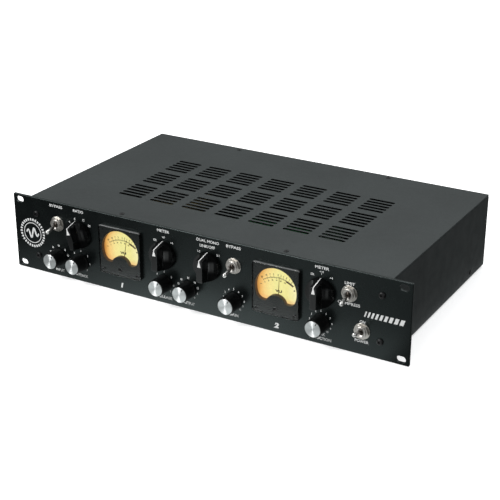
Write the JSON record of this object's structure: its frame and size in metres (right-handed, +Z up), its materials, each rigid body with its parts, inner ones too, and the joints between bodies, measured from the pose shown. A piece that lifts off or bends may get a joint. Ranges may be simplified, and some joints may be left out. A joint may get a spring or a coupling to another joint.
{
  "type": "rack compressor",
  "caption": "Two-unit rack audio compressor with vented steel case, selector and round knobs, bat toggle switches and back-lit level meters with moving needles.",
  "frame": {"origin": "centre of the rack mounting plane, on the rear face of the front panel, midway between the four rack slots", "axes": "+X to the right seen from the front, +Y into the rack, +Z up"},
  "size_m": [0.4826, 0.2898, 0.0882],
  "materials": {
    "panel_paint": "black satin powder coat with fine texture",
    "chassis_paint": "black textured powder coat",
    "cover_paint": "black textured powder coat",
    "black_steel": "black oxide steel",
    "switch_body": "moulded phenolic",
    "pot_body": "plated steel case",
    "nickel": "nickel plated brass",
    "toggle_metal": "nickel plated bushing on a moulded body",
    "shaft_steel": "turned",
    "knob_black": "moulded, semi gloss",
    "cap_aluminium": "spun",
    "lever_chrome": "polished",
    "meter_black": "moulded",
    "meter_clear": "clear moulded acrylic",
    "dial_cream": "printed, back-lit",
    "meter_can": "pressed",
    "needle_black": "fine matt",
    "lamp_glass": "lamp",
    "inlet_plastic": "moulded",
    "connector_black": "black plated die casting",
    "latch_metal": "plated",
    "board_green": "laminate with solder mask",
    "brass_hex": "turned hexagon",
    "toroid_core": "taped winding on a strip-wound core",
    "zinc_steel": "zinc plated",
    "transformer_can": "laminated core in a steel can",
    "opto_can": "drawn can"
  },
  "bodies": {
    "chassis": {"front_panel": "panel_paint", "chassis_tray": "chassis_paint", "rear_panel": "chassis_paint", "top_cover": "cover_paint", "panel_screws": "black_steel", "chassis_screws": "black_steel", "rotary_switches": "switch_body", "potentiometers": "pot_body", "shaft_nuts": "nickel", "toggle_bodies": "toggle_metal", "toggle_washers": "nickel", "toggle_nuts": "nickel", "meter_bezels": "meter_black", "meter_windows": "meter_clear", "meter_dials": "dial_cream", "meter_cans": "meter_can", "meter_lamps": "lamp_glass", "power_inlet": "inlet_plastic", "xlr_inputs": "connector_black", "xlr_outputs": "connector_black", "main_board": "board_green", "board_standoffs": "brass_hex", "power_transformer": "toroid_core", "transformer_bolt": "zinc_steel", "audio_transformers": "transformer_can", "opto_cell": "opto_can"},
    "ratio_select": {"ratio_knob": "knob_black", "ratio_shaft": "shaft_steel"},
    "meter_select_1": {"meter_knob_1": "knob_black", "meter_shaft_1": "shaft_steel"},
    "link_select": {"link_knob": "knob_black", "link_shaft": "shaft_steel"},
    "meter_select_2": {"meter_knob_2": "knob_black", "meter_shaft_2": "shaft_steel"},
    "input_control": {"input_knob": "knob_black", "input_knob_cap": "cap_aluminium", "input_shaft": "shaft_steel"},
    "attack_control": {"attack_knob": "knob_black", "attack_knob_cap": "cap_aluminium", "attack_shaft": "shaft_steel"},
    "release_control": {"release_knob": "knob_black", "release_knob_cap": "cap_aluminium", "release_shaft": "shaft_steel"},
    "output_control": {"output_knob": "knob_black", "output_knob_cap": "cap_aluminium", "output_shaft": "shaft_steel"},
    "gain_control": {"gain_knob": "knob_black", "gain_knob_cap": "cap_aluminium", "gain_shaft": "shaft_steel"},
    "reduction_control": {"reduction_knob": "knob_black", "reduction_knob_cap": "cap_aluminium", "reduction_shaft": "shaft_steel"},
    "bypass_lever_1_body": {"bypass_lever_1": "lever_chrome"},
    "bypass_lever_2_body": {"bypass_lever_2": "lever_chrome"},
    "mode_lever_body": {"mode_lever": "lever_chrome"},
    "power_lever_body": {"power_lever": "lever_chrome"},
    "meter_needle_1_body": {"meter_needle_1": "needle_black"},
    "meter_needle_2_body": {"meter_needle_2": "needle_black"},
    "input_latch_1_body": {"input_latch_1": "latch_metal"},
    "input_latch_2_body": {"input_latch_2": "latch_metal"}
  },
  "joints": [
    {"name": "ratio_turn", "type": "hinge", "parent": "chassis", "child": "ratio_select", "pos_m": [-0.1513, -0.01, 0.0124], "axis": [0, 1, 0], "range_deg": [-30, 60]},
    {"name": "meter_turn_1", "type": "hinge", "parent": "chassis", "child": "meter_select_1", "pos_m": [-0.0412, -0.01, 0.012], "axis": [0, 1, 0], "range_deg": [-30, 30]},
    {"name": "link_turn", "type": "hinge", "parent": "chassis", "child": "link_select", "pos_m": [0.0141, -0.01, 0.0115], "axis": [0, 1, 0], "range_deg": [-30, 30]},
    {"name": "meter_turn_2", "type": "hinge", "parent": "chassis", "child": "meter_select_2", "pos_m": [0.1448, -0.01, 0.0126], "axis": [0, 1, 0], "range_deg": [-30, 30]},
    {"name": "input_turn", "type": "hinge", "parent": "chassis", "child": "input_control", "pos_m": [-0.181, -0.01, -0.0203], "axis": [0, 1, 0], "range_deg": [-168, 108]},
    {"name": "attack_turn", "type": "hinge", "parent": "chassis", "child": "attack_control", "pos_m": [-0.1507, -0.01, -0.0203], "axis": [0, 1, 0], "range_deg": [-168, 108]},
    {"name": "release_turn", "type": "hinge", "parent": "chassis", "child": "release_control", "pos_m": [-0.0408, -0.01, -0.0203], "axis": [0, 1, 0], "range_deg": [-168, 108]},
    {"name": "output_turn", "type": "hinge", "parent": "chassis", "child": "output_control", "pos_m": [-0.0107, -0.01, -0.0203], "axis": [0, 1, 0], "range_deg": [-168, 108]},
    {"name": "gain_turn", "type": "hinge", "parent": "chassis", "child": "gain_control", "pos_m": [0.0449, -0.01, -0.0203], "axis": [0, 1, 0], "range_deg": [-168, 108]},
    {"name": "reduction_turn", "type": "hinge", "parent": "chassis", "child": "reduction_control", "pos_m": [0.1453, -0.01, -0.0203], "axis": [0, 1, 0], "range_deg": [-168, 108]},
    {"name": "bypass_rock_1", "type": "hinge", "parent": "chassis", "child": "bypass_lever_1_body", "pos_m": [-0.181, -0.004, 0.0188], "axis": [1, 0, 0], "range_deg": [-26, 0]},
    {"name": "bypass_rock_2", "type": "hinge", "parent": "chassis", "child": "bypass_lever_2_body", "pos_m": [0.0449, -0.004, 0.0188], "axis": [1, 0, 0], "range_deg": [-26, 0]},
    {"name": "mode_rock", "type": "hinge", "parent": "chassis", "child": "mode_lever_body", "pos_m": [0.1756, -0.004, 0.0188], "axis": [1, 0, 0], "range_deg": [-26, 0]},
    {"name": "power_rock", "type": "hinge", "parent": "chassis", "child": "power_lever_body", "pos_m": [0.1905, -0.004, -0.0182], "axis": [1, 0, 0], "range_deg": [0, 26]},
    {"name": "meter_swing_1", "type": "hinge", "parent": "chassis", "child": "meter_needle_1_body", "pos_m": [-0.0955, 0, -0.016], "axis": [0, 1, 0], "range_deg": [-47, 28]},
    {"name": "meter_swing_2", "type": "hinge", "parent": "chassis", "child": "meter_needle_2_body", "pos_m": [0.0955, 0, -0.016], "axis": [0, 1, 0], "range_deg": [-40, 35]},
    {"name": "input_press_1", "type": "slide", "parent": "chassis", "child": "input_latch_1_body", "axis": [0, 0, -1], "range_m": [0, 0.0015]},
    {"name": "input_press_2", "type": "slide", "parent": "chassis", "child": "input_latch_2_body", "axis": [0, 0, -1], "range_m": [0, 0.0015]}
  ]
}
